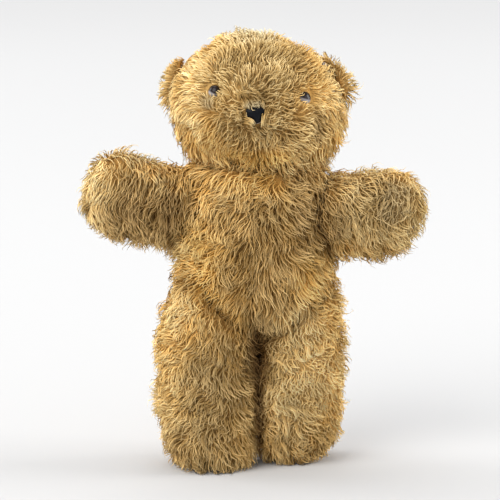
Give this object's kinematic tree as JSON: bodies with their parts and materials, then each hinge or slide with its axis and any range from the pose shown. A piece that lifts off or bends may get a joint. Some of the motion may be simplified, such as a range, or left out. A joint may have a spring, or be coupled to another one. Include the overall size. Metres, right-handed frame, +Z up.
{
  "type": "teddy bear",
  "caption": "Worn unjointed teddy bear in curly golden plush, standing on flat soles with its arms held out and a button nose and eyes.",
  "frame": {"origin": "middle of the bear's bounding box, on the floor under its soles", "axes": "+Z up through the head, -Y the way the face looks, +X towards the arm on the right as seen from the front"},
  "size_m": [0.2714, 0.1154, 0.3457],
  "materials": {
    "golden_plush": "long curly pile, matted, faded and grubby",
    "kapok_stuffing": "loose off-white fibre",
    "eye_plastic": "glossy dark brown with fine scratches",
    "nose_plastic": "glossy navy black",
    "washer_plastic": "plain"
  },
  "bodies": {
    "root": {"arm_left_back_panel": "golden_plush", "arm_left_front_panel": "golden_plush", "arm_left_stuffing": "kapok_stuffing", "arm_right_back_panel": "golden_plush", "arm_right_front_panel": "golden_plush", "arm_right_stuffing": "kapok_stuffing", "ear_left_back_panel": "golden_plush", "ear_left_front_panel": "golden_plush", "ear_right_back_panel": "golden_plush", "ear_right_front_panel": "golden_plush", "eye_left": "eye_plastic", "eye_right": "eye_plastic", "eye_washer_left": "washer_plastic", "eye_washer_right": "washer_plastic", "head_gusset": "golden_plush", "head_left_panel": "golden_plush", "head_right_panel": "golden_plush", "head_stuffing": "kapok_stuffing", "leg_left_back_panel": "golden_plush", "leg_left_front_panel": "golden_plush", "leg_left_stuffing": "kapok_stuffing", "leg_right_back_panel": "golden_plush", "leg_right_front_panel": "golden_plush", "leg_right_stuffing": "kapok_stuffing", "nose": "nose_plastic", "nose_washer": "washer_plastic", "sole_left": "golden_plush", "sole_right": "golden_plush", "torso_back_left_panel": "golden_plush", "torso_back_right_panel": "golden_plush", "torso_front_left_panel": "golden_plush", "torso_front_right_panel": "golden_plush", "torso_stuffing": "kapok_stuffing"}
  },
  "joints": []
}
